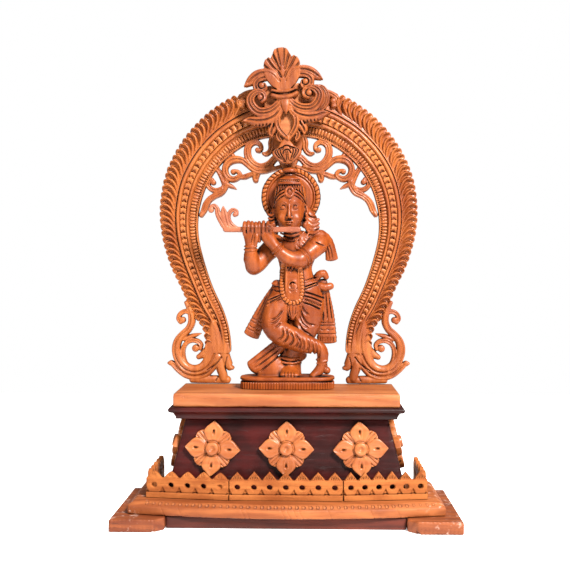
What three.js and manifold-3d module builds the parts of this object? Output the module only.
// A carved wooden flute player under a horseshoe arch, on a stained plinth, in millimetres with +Z up.
// The origin is on the floor under the middle of the base, and the front faces -Y.
import * as THREE from "three";
import { mergeVertices } from "three/addons/utils/BufferGeometryUtils.js";
import Module from "manifold-3d";

const wasm = await Module();
wasm.setup();

// Driving dimensions. Pieces that rest on each other keep the glue gap between them.
const glueGap = 0.3;

const figureHeight = 217; // from the underside of the figure's own base to its top knob
const figureBaseHeight = 11.5;
const figureBaseWidth = 91.6;
const figureBaseDepth = 40;
const figureToArch = 2; // clear space between the figure's base and the arch
const fluteDiameter = 5;
const fluteClearance = 0.3; // between the flute and the hands round it

const archRise = 86; // how far the arch's rim stands above the figure's knob
const archThickness = 12;
const teethPerSide = 37;
const crestDepth = 16.5; // how far the crest stands out in front of the arch
const crestLeafDepth = 8; // thickness of the crest's open leafwork
const crestLean = 5; // degrees, to the left
const knobClearance = 1.6; // between the crest's hanging drop and the figure's knob

const topBoardThickness = 12.3;
const topBoardEndMargin = 7.1; // beyond the arch's feet
const topBoardLedge = 26.8; // in front of the figure's base
const topBoardInset = 4.2; // from the edge of the cap
const bedHeight = 6.2; // the lower moulding under the cap's slab
const bedOutset = 8;
const capSlab = 5.4;
const capOutset = 14.1;
const capFrontReach = 5; // the cap overhangs this much more at the front

const plinthHeight = 72;
const plinthLean = 17.5; // how far each side leans in from bottom to top
const plinthFrontLean = 9;
const rosetteSize = 52; // from tip to tip
const rosetteThickness = 6;
const rosetteButton = 11.5; // diameter
const rosetteMargin = 7; // from an outer rosette's tip to the plinth's slanting edge

const galleryHeight = 25.8;
const galleryThickness = 4.5;
const galleryFlange = 4.5; // height of the foot moulding of each strip
const galleryFlangeOut = 1.5;
const galleryBand = 13.5; // height of the pierced band
const galleryHole = 4.6; // diameter
const galleryCentreLength = 104;
const galleryFrontSpace = 14; // from the plinth's foot to the front of the middle strip
const gallerySideSpace = 17.8; // from the plinth's foot to the outside of a side strip
const galleryCornerGap = 1.7; // where a canted strip passes the plinth's corner

const boardEdge = 7.5; // upright edge of the base board
const boardBevelRise = 4.5;
const boardBevelRun = 6;
const boardSideMargin = 9; // beyond the side strips
const boardFrontMargin = 13; // before the outer ends of the canted strips
const boardBow = 16; // how far the board's front swells in the middle
const railWidth = 49;
const railHeight = 11.5;
const railCornerCut = 9; // bevel of each rail's inner corners
const railSideReach = 13; // beyond the base board
const railFrontReach = 19;
const railBackReach = 4;
const apronThickness = 10;
const apronSetback = 14; // behind the rails' ends

// The arch and crest are drawn for a rim 303 mm high, and the figure for a height of 217 mm.
const archHeight = figureHeight + archRise;
const archUnit = archHeight / 303;
const figureUnit = figureHeight / 217;
const archFoot = 98; // the outer edge of the arch's foot, as drawn

// Widths and depths, from the top board down to the rails.
const topBoardWidth = 2 * (archFoot * archUnit + topBoardEndMargin);
const topBoardDepth = archThickness + figureToArch + figureBaseDepth + topBoardLedge;
const plinthTopWidth = topBoardWidth - 2 * (capOutset - topBoardInset);
const plinthBottomWidth = plinthTopWidth + 2 * plinthLean;
const plinthTopDepth = topBoardDepth - 2 * (capOutset - topBoardInset) - capFrontReach;
const plinthDepth = plinthTopDepth + 2 * plinthFrontLean;
const galleryHalfWidth = plinthBottomWidth / 2 + gallerySideSpace;
const galleryCant = Math.atan2(
  galleryFrontSpace - galleryThickness - galleryCornerGap,
  (plinthBottomWidth - galleryCentreLength) / 2,
);
const galleryRun = galleryHalfWidth - galleryCentreLength / 2;
const galleryCantDepth = galleryRun * Math.tan(galleryCant);
const boardHalfWidth = galleryHalfWidth + boardSideMargin + boardBevelRun;
const boardFrontDepth = boardFrontMargin + galleryFrontSpace - galleryCantDepth; // before the plinth
const baseWidth = 2 * (boardHalfWidth + railSideReach);
const baseDepth = railFrontReach + boardFrontDepth + plinthDepth + boardBevelRun + railBackReach;

// Places along Y, with the base centred on it.
const boardBackY = baseDepth / 2 - railBackReach;
const boardCornerY = railFrontReach - baseDepth / 2;
const plinthBackY = boardBackY - boardBevelRun;
const plinthFrontY = plinthBackY - plinthDepth;
const plinthTopFrontY = plinthFrontY + plinthFrontLean;
const plinthTopBackY = plinthBackY - plinthFrontLean;
const galleryFrontY = plinthFrontY - galleryFrontSpace;
const archBackY = plinthTopBackY + capOutset - topBoardInset;
const archFrontY = archBackY - archThickness;
const figureY = archFrontY - figureToArch - figureBaseDepth / 2;

// Heights.
const boardBottomZ = railHeight + glueGap;
const boardTopZ = boardBottomZ + boardEdge + boardBevelRise;
const plinthBottomZ = boardTopZ + glueGap;
const plinthTopZ = plinthBottomZ + plinthHeight;
const capBottomZ = plinthTopZ + glueGap;
const capTopZ = capBottomZ + bedHeight + capSlab;
const topBoardBottomZ = capTopZ + glueGap;
const topBoardTopZ = topBoardBottomZ + topBoardThickness;
const standZ = topBoardTopZ + glueGap; // where the figure and the arch stand

const carvedWood = new THREE.MeshStandardMaterial({ color: 0xd08450, roughness: 0.5, metalness: 0 });
const figureWood = new THREE.MeshStandardMaterial({ color: 0xb96a35, roughness: 0.35, metalness: 0 });
const fluteWood = new THREE.MeshStandardMaterial({ color: 0xd69a7c, roughness: 0.6, metalness: 0 });
const darkStain = new THREE.MeshStandardMaterial({ color: 0x3d1513, roughness: 0.3, metalness: 0 });

// Solids

function signedVolume(vertices, faces) {
  let total = 0;
  for (const [a, b, c] of faces) {
    const [p, q, r] = [vertices[a], vertices[b], vertices[c]];
    total += p.dot(new THREE.Vector3().crossVectors(q, r));
  }
  return total;
}

function solidFromFaces(vertices, faces) {
  const outward = signedVolume(vertices, faces) > 0;
  const triVerts = new Uint32Array(faces.flatMap(([a, b, c]) => (outward ? [a, b, c] : [a, c, b])));
  const vertProperties = new Float32Array(vertices.flatMap((v) => [v.x, v.y, v.z]));
  return new wasm.Manifold(new wasm.Mesh({ numProp: 3, vertProperties, triVerts }));
}

function solidFromGeometry(geometry) {
  geometry.deleteAttribute("normal");
  geometry.deleteAttribute("uv");
  const merged = mergeVertices(geometry, 1e-4);
  return new wasm.Manifold(
    new wasm.Mesh({
      numProp: 3,
      vertProperties: new Float32Array(merged.attributes.position.array),
      triVerts: new Uint32Array(merged.index.array),
    }),
  );
}

function joined(solids) {
  return solids.reduce((whole, next) => whole.add(next));
}

function meshOf(name, solid, material) {
  const made = solid.getMesh();
  const positions = new Float32Array(made.numVert * 3);
  for (let i = 0; i < made.numVert; i++) {
    positions.set(made.vertProperties.subarray(i * made.numProp, i * made.numProp + 3), i * 3);
  }
  const geometry = new THREE.BufferGeometry();
  geometry.setAttribute("position", new THREE.BufferAttribute(positions, 3));
  geometry.setIndex(new THREE.BufferAttribute(new Uint32Array(made.triVerts), 1));
  const mesh = new THREE.Mesh(geometry, material);
  mesh.name = name;
  return mesh;
}

// A closed skin over rings of equal point counts. Each end is a fan round the ring's middle or a given apex.
function loft(rings, apexes = []) {
  const count = rings[0].length;
  const vertices = rings.flat();
  const faces = [];
  for (let r = 0; r + 1 < rings.length; r++) {
    for (let i = 0; i < count; i++) {
      const j = (i + 1) % count;
      const [a, b, c, d] = [r * count + i, r * count + j, (r + 1) * count + j, (r + 1) * count + i];
      faces.push([a, b, c], [a, c, d]);
    }
  }
  for (const [end, ring, first] of [[0, rings[0], 0], [1, rings.at(-1), (rings.length - 1) * count]]) {
    const middle = ring.reduce((sum, p) => sum.add(p), new THREE.Vector3()).divideScalar(count);
    const apex = vertices.push(apexes[end] ?? middle) - 1;
    for (let i = 0; i < count; i++) {
      const [a, b] = [first + i, first + ((i + 1) % count)];
      faces.push(first === 0 ? [apex, b, a] : [apex, a, b]);
    }
  }
  return solidFromFaces(vertices, faces);
}

// The same skin for rings that aren't convex. The two flat outlines say how to close its ends.
function openSkin(rings, firstOutline, lastOutline) {
  const turned = THREE.ShapeUtils.isClockWise(firstOutline);
  const order = (list) => (turned ? [...list].reverse() : list);
  const count = rings[0].length;
  const vertices = rings.flatMap(order);
  const faces = [];
  for (let r = 0; r + 1 < rings.length; r++) {
    for (let i = 0; i < count; i++) {
      const j = (i + 1) % count;
      const [a, b, c, d] = [r * count + i, r * count + j, (r + 1) * count + j, (r + 1) * count + i];
      faces.push([a, b, c], [a, c, d]);
    }
  }
  const last = (rings.length - 1) * count;
  for (const [a, b, c] of THREE.ShapeUtils.triangulateShape(order(firstOutline), [])) {
    faces.push([c, b, a]);
  }
  for (const [a, b, c] of THREE.ShapeUtils.triangulateShape(order(lastOutline), [])) {
    faces.push([last + a, last + b, last + c]);
  }
  return solidFromFaces(vertices, faces);
}

// An upright plate: an outline in X and Z, from backY towards the front.
function plate(shape, backY, thickness, curveSegments = 6) {
  const geometry = new THREE.ExtrudeGeometry(shape, { depth: thickness, bevelEnabled: false, curveSegments });
  geometry.rotateX(Math.PI / 2);
  geometry.translate(0, backY, 0);
  return solidFromGeometry(geometry);
}

function flatRing(points, z) {
  return points.map(([x, y]) => new THREE.Vector3(x, y, z));
}

function rectangle(halfWidth, frontY, backY) {
  return [[-halfWidth, frontY], [halfWidth, frontY], [halfWidth, backY], [-halfWidth, backY]];
}

function box(halfWidth, frontY, backY, bottomZ, topZ) {
  const outline = rectangle(halfWidth, frontY, backY);
  return loft([flatRing(outline, bottomZ), flatRing(outline, topZ)]);
}

// A limb: each station is [x, y, z, half width, half depth], and its sections stand square to the path.
function limbFrames(stations) {
  const centres = stations.map(([x, y, z]) => new THREE.Vector3(x, y, z));
  return stations.map(([, , , halfWidth, halfDepth], i) => {
    const before = centres[Math.max(0, i - 1)];
    const after = centres[Math.min(centres.length - 1, i + 1)];
    const along = after.clone().sub(before).normalize();
    const across = new THREE.Vector3().crossVectors(new THREE.Vector3(0, 1, 0), along).normalize();
    const rearward = new THREE.Vector3().crossVectors(along, across);
    return {
      centre: centres[i],
      across: across.multiplyScalar(halfWidth),
      rearward: rearward.multiplyScalar(halfDepth),
    };
  });
}

function aroundLimb({ centre, across, rearward }, angle) {
  return centre.clone().addScaledVector(across, Math.cos(angle)).addScaledVector(rearward, Math.sin(angle));
}

function limb(stations, sides = 6) {
  return loft(
    limbFrames(stations).map((frame) =>
      Array.from({ length: sides }, (_, k) => aroundLimb(frame, (2 * Math.PI * (k + 0.5)) / sides)),
    ),
  );
}

// Raised folds of cloth round the front of a limb, evenly spaced between two of its stations.
function foldsOn(stations, { count, from, to, droop, half }) {
  const frames = limbFrames(stations);
  const onSurface = (place, degrees) => {
    const k = Math.min(frames.length - 2, Math.max(0, Math.floor(place)));
    const angle = THREE.MathUtils.degToRad(degrees);
    return aroundLimb(frames[k], angle).lerp(aroundLimb(frames[k + 1], angle), place - k);
  };
  return Array.from({ length: count }, (_, i) => {
    const place = THREE.MathUtils.lerp(from, to, i / (count - 1));
    const points = [-145, -88, -30].map((degrees, j) => onSurface(place + droop * (j % 2), degrees));
    return limb(points.map(({ x, y, z }, j) => [x, y, z, j === 1 ? half : half * 0.4, half]), 3);
  });
}

function ball([x, y, z], [rx, ry, rz], across = 10, up = 6) {
  const geometry = new THREE.SphereGeometry(1, across, up);
  geometry.rotateX(Math.PI / 2);
  geometry.scale(rx, ry, rz);
  geometry.translate(x, y, z);
  return solidFromGeometry(geometry);
}

// The path of a scroll on an upright face: a stem, then a spiral that winds in round its eye.
// hold keeps the spiral open: at 1 it closes evenly, above that it stays wide and closes late.
function scrollPath({ stem, eye, turns = 0, hold = 1, closing = 0.88 }) {
  const points = stem.map(([x, z]) => new THREE.Vector2(x, z));
  if (!eye) return points;
  const centre = new THREE.Vector2(...eye);
  const start = points.at(-1).clone().sub(centre);
  const steps = Math.ceil(Math.abs(turns) * 8);
  for (let i = 1; i <= steps; i++) {
    const share = i / steps;
    const spoke = start.clone().multiplyScalar(1 - closing * share ** hold);
    points.push(spoke.rotateAround(new THREE.Vector2(), 2 * Math.PI * turns * share).add(centre));
  }
  return points;
}

// A carved ribbon along a scroll's path, standing height out of backY. width gives its breadth at the start
// and the end, bevel the share of it that is chamfered away, and side -1 mirrors it across x = 0.
function ribbon(scroll, backY, height, { side = 1, bevel = 0 } = {}) {
  const points = scrollPath(scroll);
  const path = new THREE.SplineCurve(points);
  const last = points.length - 1;
  const rings = points.map((p, i) => {
    const along = path.getTangent(i / last);
    const half = THREE.MathUtils.lerp(scroll.width[0], scroll.width[1], i / last) / 2;
    const at = (share, out) => {
      const [x, z] = [p.x - along.y * half * share, p.y + along.x * half * share];
      return new THREE.Vector3(side * x, backY - out, z);
    };
    return [at(-1, 0), at(bevel - 1, height), at(1 - bevel, height), at(1, 0)];
  });
  return loft(rings);
}

// Base

function footRail(side) {
  const outer = baseWidth / 2;
  const inner = outer - railWidth;
  const [front, back] = [-baseDepth / 2, baseDepth / 2];
  const cut = railCornerCut;
  const outline = [
    [inner + cut, front],
    [outer, front],
    [outer, back],
    [inner + cut, back],
    [inner, back - cut],
    [inner, front + cut],
  ].map(([x, y]) => [side * x, y]);
  return loft([flatRing(outline, 0), flatRing(outline, railHeight)]);
}

function apron(frontY) {
  const halfWidth = baseWidth / 2 - railWidth - glueGap;
  return box(halfWidth, frontY, frontY + apronThickness, 0, railHeight);
}

// The base board's outline, with the swelling front, drawn in by an inset on every side.
function bowOutline(inset) {
  const halfWidth = boardHalfWidth - inset;
  const cornerY = boardCornerY + inset;
  const backY = boardBackY - inset;
  const steps = 14;
  const front = Array.from({ length: steps + 1 }, (_, i) => {
    const share = (2 * i) / steps - 1;
    return [share * halfWidth, cornerY - boardBow * (1 - share * share)];
  });
  return [...front, [halfWidth, backY], [-halfWidth, backY]];
}

function baseBoard() {
  return loft([
    flatRing(bowOutline(0), boardBottomZ),
    flatRing(bowOutline(0), boardBottomZ + boardEdge),
    flatRing(bowOutline(boardBevelRun), boardTopZ),
  ]);
}

// A pierced strip, drawn from x = 0 to its length with its front face on y = 0, standing on z = 0.
function galleryStrip(length, units, { rounded, chipped }) {
  const pitch = length / units;
  const merlonFoot = galleryFlange + galleryBand;
  const shape = new THREE.Shape();
  shape.moveTo(0, 0);
  shape.lineTo(length, 0);
  shape.lineTo(length, merlonFoot);
  for (let i = units - 1; i >= 0; i--) {
    const middle = (i + 0.5) * pitch;
    if (rounded) {
      shape.lineTo(middle + pitch * 0.3, galleryHeight - 2.2);
      shape.lineTo(middle, galleryHeight);
      shape.lineTo(middle - pitch * 0.3, galleryHeight - 2.2);
    } else {
      shape.lineTo(middle, galleryHeight);
    }
    shape.lineTo(i * pitch, merlonFoot);
  }
  for (let i = 0; i < units; i++) {
    const hole = new THREE.Path();
    const holeZ = galleryFlange + galleryBand * 0.56;
    hole.absarc((i + 0.5) * pitch, holeZ, galleryHole / 2, 0, 2 * Math.PI, true);
    shape.holes.push(hole);
  }
  const strip = plate(shape, galleryThickness, galleryThickness, 3);
  const flangeRing = (out, height) => flatRing([[0, -out], [length, -out], [length, 1], [0, 1]], height);
  const flange = loft([flangeRing(galleryFlangeOut, 0), flangeRing(galleryFlangeOut * 0.6, galleryFlange)]);
  if (!chipped) return joined([strip, flange]);
  // A chip is cut between neighbouring panels, from the band's foot to half its height.
  const chips = [];
  for (let i = 1; i < units; i++) {
    const chip = new THREE.Shape();
    chip.moveTo(i * pitch - pitch * 0.2, galleryFlange);
    chip.lineTo(i * pitch + pitch * 0.2, galleryFlange);
    chip.lineTo(i * pitch, galleryFlange + galleryBand * 0.5);
    chips.push(plate(chip, 1.1, 3));
  }
  return joined([strip.subtract(joined(chips)), flange]);
}

// The middle strip runs across the front, the next ones run back from it, and the side strips go to the rear.
function galleryMeshes() {
  const z = boardTopZ + glueGap;
  const half = galleryCentreLength / 2;
  const cant = galleryCant;
  const seat = glueGap + galleryThickness * Math.sin(cant); // where a canted strip meets the middle one
  const outerLength = (galleryRun - seat) / Math.cos(cant) - glueGap;
  const sideStartY = galleryFrontY + galleryCantDepth + galleryThickness + galleryFlangeOut;
  const sideLength = plinthBackY - sideStartY;
  const pointed = { rounded: false, chipped: true };
  const round = { rounded: true, chipped: true };
  const plain = { rounded: true, chipped: false };
  const strips = [
    ["gallery_front_centre", galleryCentreLength, 7, pointed, [-half, galleryFrontY, z], 0],
    ["gallery_front_right", outerLength, 6, pointed, [half + seat, galleryFrontY, z], cant],
    ["gallery_side_right", sideLength, 5, plain, [galleryHalfWidth, sideStartY, z], Math.PI / 2],
    [
      "gallery_front_left",
      outerLength,
      5,
      round,
      [-half - seat - outerLength * Math.cos(cant), galleryFrontY + outerLength * Math.sin(cant), z],
      -cant,
    ],
    ["gallery_side_left", sideLength, 5, plain, [-galleryHalfWidth, plinthBackY, z], -Math.PI / 2],
  ];
  return strips.map(([name, length, units, style, place, turn]) => {
    const mesh = meshOf(name, galleryStrip(length, units, style), carvedWood);
    mesh.position.set(...place);
    mesh.rotation.z = turn;
    return mesh;
  });
}

// Plinth

function plinthBlock() {
  return loft([
    flatRing(rectangle(plinthBottomWidth / 2, plinthFrontY, plinthBackY), plinthBottomZ),
    flatRing(rectangle(plinthTopWidth / 2, plinthTopFrontY, plinthTopBackY), plinthTopZ),
  ]);
}

function plinthCap() {
  const ring = (outset, height) => {
    const frontY = plinthTopFrontY - outset - (capFrontReach * outset) / capOutset;
    const outline = rectangle(plinthTopWidth / 2 + outset, frontY, plinthTopBackY + outset);
    return flatRing(outline, capBottomZ + height);
  };
  return loft([
    ring(bedOutset, 0),
    ring(bedOutset, bedHeight * 0.35),
    ring(bedOutset + 2.2, bedHeight),
    ring(capOutset - 1.2, bedHeight + capSlab * 0.12),
    ring(capOutset, bedHeight + capSlab * 0.4),
    ring(capOutset, bedHeight + capSlab * 0.7),
    ring(capOutset - 1, bedHeight + capSlab),
  ]);
}

function topBoard() {
  const ring = (inset, z) =>
    flatRing(rectangle(topBoardWidth / 2 - inset, archBackY - topBoardDepth + inset, archBackY - inset), z);
  const softEdge = 1;
  return loft([
    ring(0, topBoardBottomZ),
    ring(0, topBoardTopZ - softEdge),
    ring(softEdge, topBoardTopZ),
  ]);
}

// A four-petalled flower lying on z = 0 with its face towards +Z, and its tips along X and Y.
function rosette() {
  const tip = rosetteSize / 2;
  // One petal and one small leaf, as [degrees, share of the tip's reach].
  const quarter = [[0, 1], [20, 0.74], [33, 0.53], [45, 0.68], [57, 0.53], [70, 0.74]];
  const outline = [0, 90, 180, 270].flatMap((turn) => quarter.map(([angle, share]) => [angle + turn, share]));
  const ring = (scale, z) =>
    outline.map(([angle, share]) => {
      const [r, a] = [tip * share * scale, THREE.MathUtils.degToRad(angle)];
      return new THREE.Vector3(r * Math.cos(a), r * Math.sin(a), z);
    });
  const petals = loft([ring(1, 0), ring(0.9, rosetteThickness)]);
  const button = new THREE.CylinderGeometry(rosetteButton * 0.42, rosetteButton / 2, rosetteThickness, 8);
  button.rotateX(Math.PI / 2);
  button.translate(0, 0, rosetteThickness * 0.8);
  return petals.add(solidFromGeometry(button));
}

function rosetteMeshes() {
  const middleZ = plinthBottomZ + plinthHeight * 0.61;
  const share = (middleZ - plinthBottomZ) / plinthHeight;
  const frontTilt = Math.atan2(plinthFrontLean, plinthHeight);
  const sideTilt = Math.atan2(plinthLean, plinthHeight);
  const frontY = plinthFrontY + plinthFrontLean * share;
  const sideX = plinthBottomWidth / 2 - plinthLean * share;
  const sideY = (plinthFrontY + plinthBackY) / 2;
  const made = [];
  const spacing = sideX - rosetteSize / 2 - rosetteMargin;
  for (const [name, offset] of [["left", -1], ["centre", 0], ["right", 1]]) {
    const mesh = meshOf("rosette_front_" + name, rosette(), carvedWood);
    mesh.rotation.x = Math.PI / 2 - frontTilt;
    const lift = glueGap / Math.cos(frontTilt);
    mesh.position.set(offset * spacing, frontY - lift, middleZ);
    made.push(mesh);
  }
  for (const [name, side] of [["left", -1], ["right", 1]]) {
    const mesh = meshOf("rosette_side_" + name, rosette(), carvedWood);
    mesh.rotation.order = "YXZ";
    mesh.rotation.y = side * (Math.PI / 2 - sideTilt);
    mesh.position.set(side * (sideX + glueGap / Math.cos(sideTilt)), sideY, middleZ);
    made.push(mesh);
  }
  return made;
}

// Arch. Its points are drawn as [distance from the middle, height above the board], before archUnit.

const rimOutside = [
  [[0, 303], [45, 296], [80, 272], [106, 246], [123, 213]],
  [[129, 177], [125, 141], [112, 104], [96, 72], [84, 46]],
].flat();
const rimInside = [
  [[0, 250], [30, 245.5], [54, 233], [72, 217], [86, 193]],
  [[91, 163], [87, 129], [75, 94], [61, 62], [57, 40]],
].flat();

function archEdges() {
  const curve = (points) =>
    new THREE.SplineCurve(points.map(([a, v]) => new THREE.Vector2(a * archUnit, v * archUnit)));
  return [curve(rimOutside), curve(rimInside)];
}

// A point on the arch: t runs from the crown to the foot, share from the outer to the inner edge.
function onArch(side, t, share, y) {
  const [outside, inside] = archEdges();
  const [p, q] = [outside.getPoint(t), inside.getPoint(t)];
  const point = p.lerp(q, share);
  return new THREE.Vector3(side * point.x, y, standZ + point.y);
}

// The raised ribs and sunk bands across the arch, as [share of the width, height out of the back].
const bandProfile = [
  [0.36, 0],
  [0.36, 0.72],
  [0.47, 0.78],
  [0.49, 1],
  [0.58, 1],
  [0.6, 0.8],
  [0.69, 0.8],
  [0.71, 1],
  [0.8, 1],
  [0.98, 0.78],
  [1, 0],
];

function archBand() {
  const steps = 15; // for each side
  const section = bandProfile.map(([share, out]) => new THREE.Vector2(share, out));
  const rings = [];
  for (let i = -steps; i <= steps; i++) {
    const side = Math.sign(i) || 1;
    const along = Math.abs(i) / steps;
    rings.push(bandProfile.map(([share, out]) => onArch(side, along, share, archBackY - out * archThickness)));
  }
  return openSkin(rings, section, section);
}

// The rim of slanting leaves: its back outline is scalloped, and its front one is cut deeper between them.
function archRim() {
  const rimHeight = archThickness * 0.8;
  const firstTooth = 0.13; // share of the way down, clear of the crest
  const lastTooth = 0.9;
  const [outside] = archEdges();
  const side = (sign) => {
    const points = [{ t: 0, back: 0.08, front: 0.12, slip: 0, sign }];
    for (let i = 0; i < teethPerSide; i++) {
      const u = THREE.MathUtils.lerp(firstTooth, lastTooth, i / (teethPerSide - 1));
      const pitch = (lastTooth - firstTooth) / (teethPerSide - 1);
      const t = outside.getUtoTmapping(u);
      const next = outside.getUtoTmapping(u + pitch * 0.5);
      const slip = outside.getUtoTmapping(u + pitch * 0.4) - t;
      points.push({ t, back: 0.075, front: 0.3, slip, sign }, { t: next, back: 0, front: 0.05, slip: 0, sign });
    }
    points.push({ t: 0.97, back: 0.08, front: 0.12, slip: 0, sign });
    return points;
  };
  const outer = [...side(-1).reverse(), ...side(1).slice(1)];
  const innerSteps = 9;
  const inner = [];
  for (let i = -innerSteps; i <= innerSteps; i++) {
    const t = (Math.abs(i) / innerSteps) * 0.97;
    inner.push({ t, back: 0.42, front: 0.42, slip: 0, sign: -Math.sign(i) || 1 });
  }
  const loop = [...outer, ...inner];
  const back = loop.map((p) => onArch(p.sign, p.t, p.back, archBackY - 1));
  const front = loop.map((p) => onArch(p.sign, p.t + p.slip, p.front, archBackY - rimHeight));
  const flat = (ring) => ring.map((p) => new THREE.Vector2(p.x, p.z));
  return openSkin([back, front], flat(back), flat(front));
}

// Scrolls of the arch for one side, as points [distance from the middle, height above the board].
const innerScrolls = [
  { stem: [[2, 226], [11, 217], [23, 212.5]], eye: [29.5, 233], turns: 0.76, width: [11.5, 6] },
  { stem: [[20, 214], [38, 217], [47, 225], [55, 228.5]], eye: [56.5, 214], turns: -0.9, width: [8.5, 5] },
  { stem: [[66, 212], [64, 203]], eye: [73.5, 200.5], turns: 0.76, hold: 1.6, width: [7.5, 4.6] },
  { stem: [[64, 199], [69, 187], [79, 180], [88, 166]], width: [8, 6] },
  { stem: [[67, 194], [60, 196], [53, 197]], width: [6, 1] },
  { stem: [[43, 212], [35, 206], [29, 203]], width: [7.5, 3] },
  { stem: [[55, 205], [45, 205], [36, 210]], width: [6, 5] },
  { stem: [[9, 224], [18, 229], [21, 236]], width: [7, 3] },
  { stem: [[62, 222], [71, 219], [79, 214]], width: [6, 6] },
];
const footScrolls = [
  { stem: [[75, 66], [75, 48], [77, 34]], eye: [95.6, 30.6], turns: 0.97, hold: 4, closing: 0.8, width: [19, 5] },
  { stem: [[110, 30], [108, 44], [101, 54], [95.5, 63], [97, 73], [102, 82]], width: [9, 5.5] },
  { stem: [[96.5, 71], [102, 74]], eye: [105, 67], turns: -0.7, width: [5.5, 4] },
  { stem: [[74, 8], [90, 6], [103, 7.5], [114, 15], [121, 22]], width: [13, 2] },
  { stem: [[102, 46], [95, 50], [88, 52]], width: [6, 1.4] },
  { stem: [[80, 40], [86, 30], [91, 27]], width: [9, 4.6] },
  { stem: [[61, 50], [60.5, 34], [63, 18], [68, 6]], width: [12, 11] },
  { stem: [[63, 28], [59.5, 18], [55.5, 14]], width: [9, 6] },
  { stem: [[62, 6], [80, 6], [97, 4.6]], width: [12, 8] },
];

function archScrolls() {
  const scaled = ({ stem, eye, ...rest }) => ({
    ...rest,
    stem: stem.map(([x, v]) => [x * archUnit, standZ + v * archUnit]),
    eye: eye && [eye[0] * archUnit, standZ + eye[1] * archUnit],
  });
  const heights = [
    [innerScrolls, 0.74],
    [footScrolls, 0.8],
  ];
  const pieces = [-1, 1].flatMap((side) =>
    heights.flatMap(([scrolls, height]) =>
      scrolls.map((scroll) => ribbon(scaled(scroll), archBackY - 1, archThickness * height, { side })),
    ),
  );
  return joined(pieces);
}

// A plate on the arch, from points [distance from the middle, height above the board].
function archPlate(outline, backY, thickness) {
  const points = outline.map(([a, v]) => new THREE.Vector2(a * archUnit, standZ + v * archUnit));
  return plate(new THREE.Shape(points), backY, thickness);
}

function arch() {
  // A web behind the crest ties the two inner scrolls to the crown of the arch.
  const webOutline = [[-13, 252], [13, 252], [9, 222], [0, 214], [-9, 222]];
  const web = archPlate(webOutline, archBackY - 1, archThickness * 0.6);
  const whole = joined([archBand(), archRim(), archScrolls(), web]);
  const floor = box(baseWidth, -baseDepth, baseDepth, 0, standZ);
  return whole.subtract(floor);
}

// Crest: openwork leaves in front of a backing block. It is drawn upright round its own middle line,
// as points [distance from the middle, height above the board], and leans to the left as a whole.

const crestPivot = [-0.8, 259.2];
const crestScrolls = [
  { stem: [[2, 289], [8.5, 302]], eye: [22.3, 296], turns: -0.42, closing: -0.06, width: [9, 3.4] },
  { stem: [[19, 308.5], [27.5, 306]], eye: [23.5, 298.5], turns: -0.75, closing: 0.75, width: [5, 5] },
  { stem: [[1.5, 284], [8, 275]], eye: [22.8, 285.4], turns: 0.93, width: [13, 5.5] },
  { stem: [[3, 277], [17, 264.5], [29, 261], [41.5, 264.3]], width: [8, 3] },
  { stem: [[28, 268], [37, 277], [39, 290]], width: [11, 2] },
  { stem: [[9, 264], [18, 252]], width: [12, 3] },
];
const palmetteNeck = 291;
const palmetteReach = 41;
const palmetteSpread = 57; // degrees from upright to its outer edge
const palmetteLobes = 7;
const collarHeights = [286, 290.6];
const ovalMiddle = 259.2;
const dropTop = 247;
const dropBottom = (figureHeight + knobClearance) / archUnit;

// The crest's points, turned about its pivot and set on the arch.
function onCrest([x, v]) {
  const pivot = new THREE.Vector2(...crestPivot);
  const turned = new THREE.Vector2(x, v).add(new THREE.Vector2(crestPivot[0], 0));
  turned.rotateAround(pivot, THREE.MathUtils.degToRad(crestLean));
  return [turned.x * archUnit, standZ + turned.y * archUnit];
}

function crestRibbon(scroll, backY, height, side = 1) {
  const path = scrollPath(scroll).map((p) => onCrest([side * p.x, p.y]));
  return ribbon({ stem: path, width: scroll.width }, backY, height, { bevel: 0.25 });
}

// The fan on top of the crest: its lobes are ridges that spread from the neck, longest in the middle.
function palmette(backY) {
  const points = Array.from({ length: 3 * palmetteLobes }, (_, i) => {
    const lobe = Math.floor(i / 3);
    const within = i % 3; // the lobe's first shoulder, its crown and its last shoulder
    const share = (2 * (lobe + [0.04, 0.5, 0.96][within])) / palmetteLobes - 1;
    const angle = THREE.MathUtils.degToRad(palmetteSpread * share);
    const reach = palmetteReach * (1 - 0.24 * Math.abs(share)) * (within === 1 ? 1 : 0.94);
    const [x, z] = onCrest([Math.sin(angle) * reach, palmetteNeck + Math.cos(angle) * reach]);
    return { x, z, out: crestLeafDepth * (within === 2 ? 0.6 : 1) };
  });
  for (const side of [1, -1]) {
    const [x, z] = onCrest([side * 7, palmetteNeck - 3]);
    points.push({ x, z, out: crestLeafDepth * 0.8 });
  }
  const ring = (height) => points.map(({ x, z, out }) => new THREE.Vector3(x, backY - out * height, z));
  const [neckX, neckZ] = onCrest([0, palmetteNeck + 2]);
  const apex = (out) => new THREE.Vector3(neckX, backY - out, neckZ);
  return loft([ring(0), ring(1)], [apex(0), apex(crestLeafDepth)]);
}

function ovalShape(across, up) {
  const shape = new THREE.Shape();
  shape.moveTo(0, -up);
  shape.bezierCurveTo(across * 1.25, -up * 0.2, across * 1.1, up * 0.9, 0, up);
  shape.bezierCurveTo(-across * 1.1, up * 0.9, -across * 1.25, -up * 0.2, 0, -up);
  return new THREE.Shape(shape.getPoints(5).map((p) => new THREE.Vector2(...onCrest([p.x, p.y + ovalMiddle]))));
}

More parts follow.
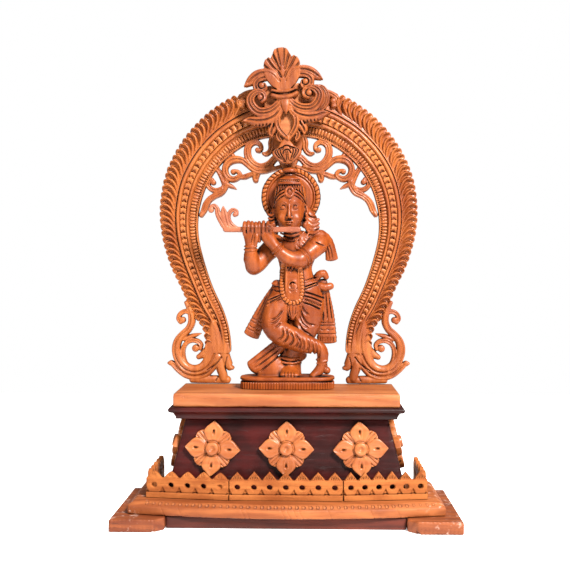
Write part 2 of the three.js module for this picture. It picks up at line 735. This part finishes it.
function crest() {
  const backY = archFrontY - glueGap;
  const leafBackY = backY - (crestDepth - crestLeafDepth);
  const pieces = [-1, 1].flatMap((side) =>
    crestScrolls.map((scroll) => crestRibbon(scroll, leafBackY, crestLeafDepth, side)),
  );
  pieces.push(palmette(leafBackY));
  // The collar that ties the leaves.
  for (const v of collarHeights) {
    const collar = { stem: [[-14, v], [0, v - 1], [14, v]], width: [4.6, 4.6] };
    pieces.push(crestRibbon(collar, leafBackY, crestLeafDepth * 1.25));
  }
  // The pointed oval window, the bud above it and the hanging drop.
  const frame = plate(ovalShape(11.5, 14), leafBackY, crestLeafDepth * 0.95);
  pieces.push(frame.subtract(plate(ovalShape(6.4, 8), leafBackY - 3, crestLeafDepth)));
  const bud = { stem: [[0, 284], [0, 275], [0, 268]], width: [8, 2.5] };
  pieces.push(crestRibbon(bud, leafBackY, crestLeafDepth));
  const onDrop = (share) => [0, THREE.MathUtils.lerp(dropTop, dropBottom, share)];
  for (const drop of [
    { stem: [onDrop(0), onDrop(0.55)], width: [4, 24] },
    { stem: [onDrop(0.55), onDrop(0.8), onDrop(1)], width: [24, 2] },
  ]) {
    pieces.push(crestRibbon(drop, leafBackY + 2, crestLeafDepth));
  }
  // The backing block that is glued to the arch.
  const block = [[-27, 303], [25, 303], [25, 268], [9, 244], [-9, 244], [-27, 268]];
  pieces.push(archPlate(block, backY, crestDepth - crestLeafDepth + 1));
  return joined(pieces);
}

// Figure. Its points are drawn as [x, y, z, half width, half depth], before figureUnit, from its own base up.

function figureBase() {
  const steps = 28;
  const exponent = 0.55; // an oval with fuller corners than an ellipse
  const outline = (inset, flute) =>
    Array.from({ length: steps }, (_, i) => {
      const angle = (2 * Math.PI * i) / steps;
      const [c, s] = [Math.cos(angle), Math.sin(angle)];
      const depth = i % 2 === 0 ? flute : 0;
      return [
        Math.sign(c) * Math.abs(c) ** exponent * (figureBaseWidth / 2 - inset - depth),
        Math.sign(s) * Math.abs(s) ** exponent * (figureBaseDepth / 2 - inset - depth),
      ];
    });
  const h = figureBaseHeight;
  return loft([
    flatRing(outline(0, 0.9), 0),
    flatRing(outline(0, 0.9), h * 0.56),
    flatRing(outline(1.6, 0), h * 0.64),
    flatRing(outline(0, 0), h * 0.74),
    flatRing(outline(0.4, 0), h),
  ]);
}

const bodyLimbs = {
  torso: [
    [10, 1, 80, 17, 10],
    [11, 1, 92, 22, 12.5],
    [9, 0, 105, 17.5, 11.5],
    [8, 0, 117, 16, 10.5],
    [8.5, 0, 130, 19.5, 11.5],
    [9.5, 1, 140, 23, 10.5],
    [8, 1, 147, 13, 7.5],
  ],
  neck: [[6, 1, 143, 9.5, 8], [3, 0, 150, 8, 7.5], [2, 0, 160, 8.5, 8]],
  standingLeg: [
    [19, 3, 96, 15, 12],
    [21, 3, 80, 14.5, 12],
    [19, 3, 66, 13.5, 11.5],
    [14.5, 3, 51, 11, 10],
    [7, 4, 37, 9.5, 9],
    [2.5, 4, 27, 6.2, 6.5],
    [2.5, 2, 19, 7, 7.5],
  ],
  standingFoot: [[2.5, 5, 15.5, 7.5, 5.5], [2.5, -4, 14, 8.5, 5], [2.5, -14, 13, 8, 2.6]],
  crossingLeg: [
    [0, -1, 96, 13, 11],
    [-7, -3, 82, 14, 12],
    [-13, -7, 69, 13.5, 12],
    [-13, -9, 58, 12, 11.5],
    [-4, -10, 51.5, 12.5, 10.5],
    [9, -10, 46, 10.5, 9],
    [21, -9, 42, 8.5, 7.5],
    [30, -8, 40, 7, 6.5],
    [34.5, -7, 33, 6, 6],
    [33.5, -8, 24, 5, 5.2],
    [28, -10, 15, 4.4, 5],
    [26, -11, 11.5, 4, 4.5],
  ],
  leftArm: [
    [34, 0, 143, 8.5, 8],
    [30, -4, 138.5, 9, 8.5],
    [20, -10, 130, 8.3, 8],
    [10, -14, 123.5, 8.2, 7.8],
    [-2, -17, 128, 7, 6.8],
    [-10.5, -18, 135.5, 5.2, 5.2],
  ],
  rightArm: [
    [-12, 0, 141, 10, 8],
    [-22, -3, 130, 9, 8.5],
    [-29, -8, 120, 8.6, 8.2],
    [-34.5, -13, 125, 7.6, 7.4],
    [-34.5, -17, 135, 5.2, 5.4],
  ],
  leftPalm: [
    [-8, -17.5, 133, 5.2, 5],
    [-17, -18.5, 142, 6.6, 5.8],
    [-20, -18.5, 150, 7.6, 6],
    [-20.5, -18.5, 155, 7, 4.8],
  ],
  rightPalm: [
    [-34.5, -16, 131, 5.2, 5],
    [-34.5, -18, 142, 6.4, 5.8],
    [-34.5, -18.5, 150, 7.4, 6],
    [-34.5, -18.5, 155, 6.8, 4.8],
  ],
  braceletLeft: [[-8.5, -17.7, 134, 7.2, 6.8], [-12.5, -18.2, 138, 7.2, 6.8]],
  braceletRight: [[-34.5, -16.6, 131.5, 7.2, 7.2], [-34.5, -17.2, 137, 7.2, 7.2]],
  armletLeft: [[19.5, -10.3, 129.8, 9.8, 9.4], [14.5, -12.4, 126.4, 9.8, 9.4]],
  anklet: [[2.5, 4, 28.5, 8, 8], [2.5, 3, 23.5, 8, 8]],
  sashLeft: [[-8, 4, 101, 4, 4], [-15, 5, 92, 4.6, 3.5], [-25, 6, 74, 6, 3], [-35.5, 6, 50.5, 7.6, 3]],
  sashRight: [[34, 4, 102, 5, 4], [37, 5, 90, 5, 3.5], [38.5, 5, 70, 7.4, 3], [38.5, 5, 45, 9.6, 3]],
  sashShoulder: [[30, 3, 147, 6, 4.5], [38, 4, 142, 6, 4.5], [42, 5, 133, 5.8, 3.5], [43, 5, 125, 6, 2.8]],
  sashTail: [[-2, 1, 46, 6, 5], [-10, 0, 39, 7, 5], [-21, -1, 29.5, 7.6, 4.5], [-34, -2, 20, 7.4, 4.2]],
  support: [[-14, 1, 34, 7, 6], [-15, 1, 22, 15, 8], [-14, 1, 10, 19, 9]],
  calfSupport: [[8, 6, 36, 9, 6], [6, 6, 22, 9, 6], [5, 6, 10, 11, 7]],
  turban: [
    [2.2, 0.5, 180, 16, 14.5],
    [2.5, 1, 190, 15.6, 14],
    [2.6, 1.5, 199, 13.4, 12],
    [2.6, 2, 206, 10.5, 9],
  ],
  knob: [[2.4, 3, 204, 6.2, 5.5], [2.2, 3, 211.5, 6, 5.5], [2.2, 3, 212, 7.8, 6.5], [2.2, 3, 217, 7.4, 6]],
  hairRight: [[18, 4, 172, 5, 6], [22, 4, 164, 7.5, 6.5], [24, 3, 155, 7.4, 6], [24, 3, 149, 4, 4]],
  hairLeft: [[-13, 4, 172, 4, 6], [-15.5, 5, 163, 4.5, 6], [-15, 5, 153, 4, 5]],
  pleat: [[5, -10, 84, 5, 6], [5.5, -11, 76, 6.5, 5], [5.5, -10, 66, 1.5, 3]],
  flap: [[6, -9, 118, 6.5, 4.6], [5.8, -10, 100, 7, 4.6], [5.8, -11, 86, 6, 4.2]],
};
const bodyBalls = [
  [[2, 0, 169.5], [15.2, 14.5, 17.5], 12, 7], // head
  [[2, -13.6, 167], [2.4, 3.2, 5.5], 6, 4], // nose
  [[2, -12.6, 159.5], [5, 2.6, 1.6], 6, 4], // lips
  [[2.5, -13.2, 189], [4.6, 3, 5], 8, 4], // turban jewel
  [[17, -2, 158], [3.6, 4, 4], 6, 4], // ear drops
  [[-13, -2, 159], [3.4, 4, 4], 6, 4],
  [[33, 2, 108], [6.4, 5.5, 7], 7, 4], // knots of the sash
  [[38, 0, 97], [6.2, 5, 4.2], 7, 4],
  [[-11, 1, 100], [5, 5, 5.4], 7, 4],
  [[38, -8, 18], [5, 5, 5], 7, 4], // bell beside the toes
  [[6, -14.4, 97], [5, 1.8, 5.6], 8, 4], // pendant
];

// The disc behind the head, with a row of rounded leaves round it.
function halo() {
  const [cx, cy, cz] = [3.1, 15.5, 186.5];
  const leaves = 20;
  const radius = 28.6;
  const ring = (scale, y) =>
    Array.from({ length: leaves * 2 }, (_, i) => {
      const r = (i % 2 === 0 ? radius : radius - 2.6) * scale;
      const angle = (Math.PI * i) / leaves;
      return new THREE.Vector3(cx + r * Math.cos(angle), y, cz + r * Math.sin(angle));
    });
  return loft([ring(1, cy + 1.5), ring(0.96, cy - 3)]);
}

// A rope of flowers from the neck to the knees and back.
function garland() {
  const path = new THREE.CatmullRomCurve3(
    [
      [[-9, -7, 145], [-6, -12, 132], [-4, -13.5, 115], [-4.5, -15, 95], [0, -16, 84], [6, -16.5, 81.5]],
      [[12, -16, 85], [15, -15, 96], [14.5, -13.5, 115], [18, -11, 132], [20, -7, 145]],
    ].flatMap((half) => half.map((p) => new THREE.Vector3(...p))),
  );
  const steps = 24;
  const stations = Array.from({ length: steps + 1 }, (_, i) => {
    const p = path.getPointAt(i / steps);
    const half = i % 2 === 0 ? 3.1 : 2.1;
    return [p.x, p.y, p.z, half, half];
  });
  return limb(stations, 4);
}

// Four bent fingers over the flute, from knuckle to tip.
function fingers(middle, lean) {
  return [-1.5, -0.5, 0.5, 1.5].map((k) => {
    const x = middle + k * 3.7;
    return limb([[x, -20.5, 150, 2.1, 3], [x + lean, -20, 161.5, 1.3, 1.8]], 4);
  });
}

// The folds of the wrapped cloth on both legs.
function folds() {
  return [
    ...foldsOn(bodyLimbs.crossingLeg, { count: 3, from: 4.3, to: 6.4, droop: 0.35, half: 1.5 }),
    ...foldsOn(bodyLimbs.crossingLeg, { count: 2, from: 1.3, to: 2.5, droop: 0.3, half: 1.4 }),
    ...foldsOn(bodyLimbs.standingLeg, { count: 3, from: 0.9, to: 3, droop: 0.3, half: 1.4 }),
  ];
}

// Flute. Its points share the figure's frame, so that it passes through the hands.

const fluteLine = { y: -18.5, z: 151.9, left: -62, right: 7.6 };

function fluteRod(radius, left, right) {
  const stations = [[left, radius], [right - 1.5, radius], [right, radius * 0.85]];
  const sides = 8;
  return loft(
    stations.map(([x, r]) =>
      Array.from({ length: sides }, (_, i) => {
        const angle = (2 * Math.PI * (i + 0.5)) / sides;
        return new THREE.Vector3(x, fluteLine.y + r * Math.cos(angle), fluteLine.z + r * Math.sin(angle));
      }),
    ),
  );
}

const fluteLeaves = [
  { stem: [[-52, 152.5], [-60, 153.5], [-65, 160], [-69, 168]], eye: [-73, 168], turns: 0.4, width: [5.5, 4.4] },
  { stem: [[-62, 155], [-62.5, 165], [-62.5, 173.5]], width: [8, 2.5] },
  { stem: [[-46, 152.5], [-55, 157], [-57, 164]], eye: [-53, 165], turns: -0.6, closing: 0.5, width: [5, 4] },
];

function flute() {
  const leaves = fluteLeaves.map((scroll) => ribbon(scroll, fluteLine.y + 2.2, 4.4, { bevel: 0.2 }));
  return joined([fluteRod(fluteDiameter / 2, fluteLine.left, fluteLine.right), ...leaves]);
}

function figure() {
  const pieces = [
    ...Object.entries(bodyLimbs).map(([, stations]) => limb(stations)),
    ...bodyBalls.map(([centre, radii, across, up]) => ball(centre, radii, across, up)),
    ...fingers(-20.5, 1),
    ...fingers(-34.5, -0.5),
    ...folds(),
    halo(),
    garland(),
  ];
  const body = joined(pieces).scale([figureUnit, figureUnit, figureUnit]);
  const ground = box(baseWidth, -baseDepth, baseDepth, -figureHeight, figureBaseHeight * 0.8);
  return body.subtract(ground).add(figureBase());
}

// Assembly

const assembly = new THREE.Group();
for (const [name, side] of [["left", -1], ["right", 1]]) {
  assembly.add(meshOf("foot_rail_" + name, footRail(side), carvedWood));
}
const apronFrontY = -baseDepth / 2 + apronSetback;
assembly.add(meshOf("apron_front", apron(apronFrontY), darkStain));
assembly.add(meshOf("apron_back", apron(-apronFrontY - apronThickness), darkStain));
assembly.add(meshOf("base_board", baseBoard(), carvedWood));
assembly.add(...galleryMeshes());
assembly.add(meshOf("plinth_block", plinthBlock(), darkStain));
assembly.add(meshOf("plinth_cap", plinthCap(), darkStain));
assembly.add(...rosetteMeshes());
assembly.add(meshOf("top_board", topBoard(), carvedWood));
assembly.add(meshOf("arch", arch(), carvedWood));
assembly.add(meshOf("crest", crest(), carvedWood));

// The figure and the flute share one frame; the hands are cut clear of the flute.
const figureFrame = new THREE.Group();
figureFrame.position.set(0, figureY, standZ);
const channel = fluteRod(fluteDiameter / 2 + fluteClearance, fluteLine.left, fluteLine.right + 2);
const scaledChannel = channel.scale([figureUnit, figureUnit, figureUnit]);
figureFrame.add(meshOf("krishna_figure", figure().subtract(scaledChannel), figureWood));
figureFrame.add(meshOf("flute", flute().scale([figureUnit, figureUnit, figureUnit]), fluteWood));
assembly.add(figureFrame);

export default assembly;
